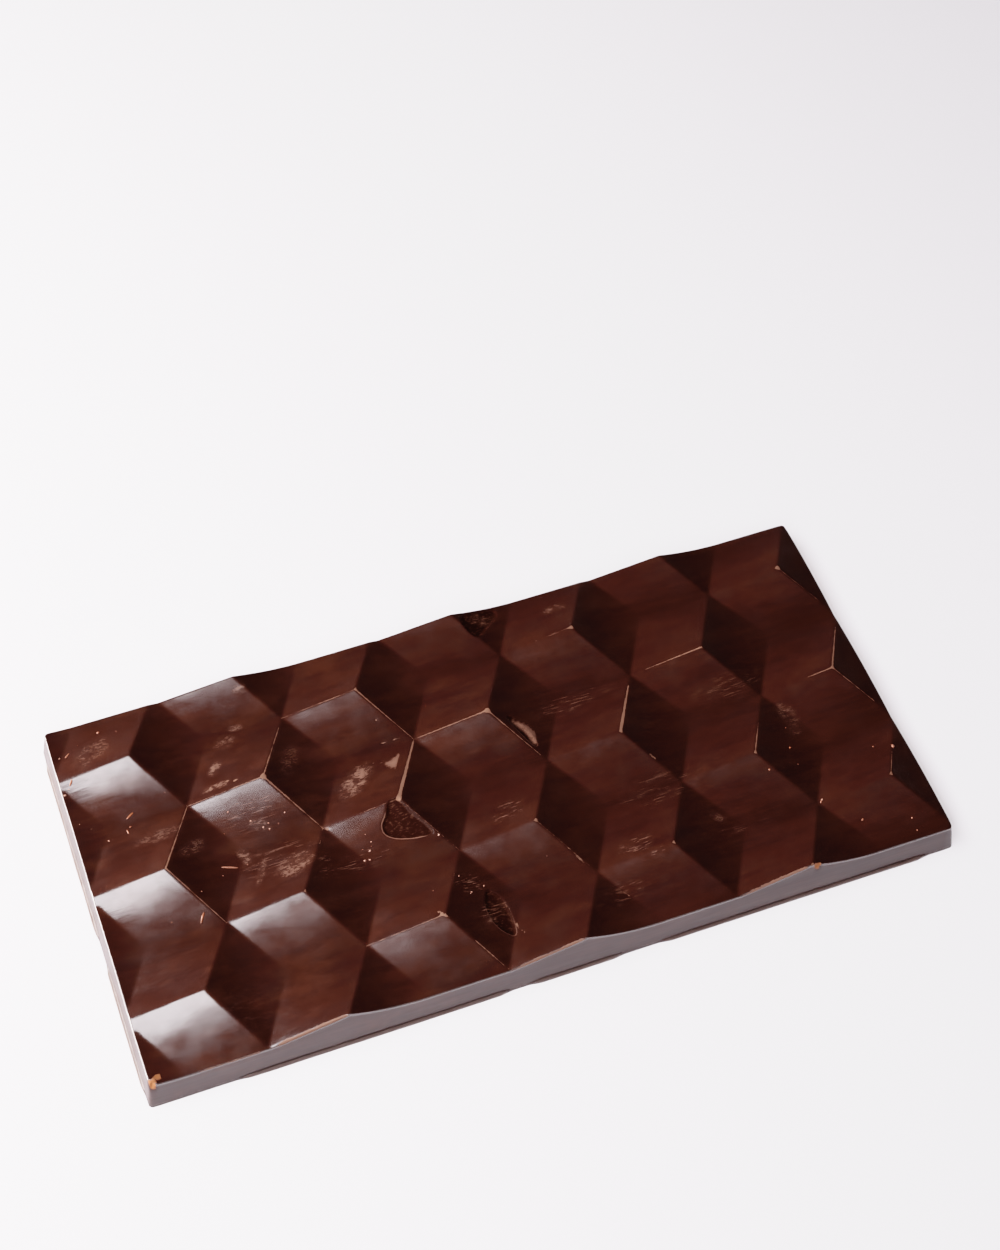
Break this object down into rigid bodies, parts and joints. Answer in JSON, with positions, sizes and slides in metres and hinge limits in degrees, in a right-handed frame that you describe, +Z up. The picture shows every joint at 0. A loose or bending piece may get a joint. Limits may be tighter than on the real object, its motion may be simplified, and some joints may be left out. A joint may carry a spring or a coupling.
{
  "type": "chocolate bar",
  "caption": "Flat moulded bar of dark chocolate with a relief of tumbling blocks on its top, sloping side walls, a thin lip round its foot and a flat underside.",
  "frame": {"origin": "centre of the flat underside, which rests on the table", "axes": "+X along the bar's long side, +Y across it, +Z up out of the moulded top"},
  "size_m": [0.1558, 0.078, 0.009],
  "materials": {
    "chocolate": "satin"
  },
  "bodies": {
    "root": {"bar": "chocolate"}
  },
  "joints": []
}
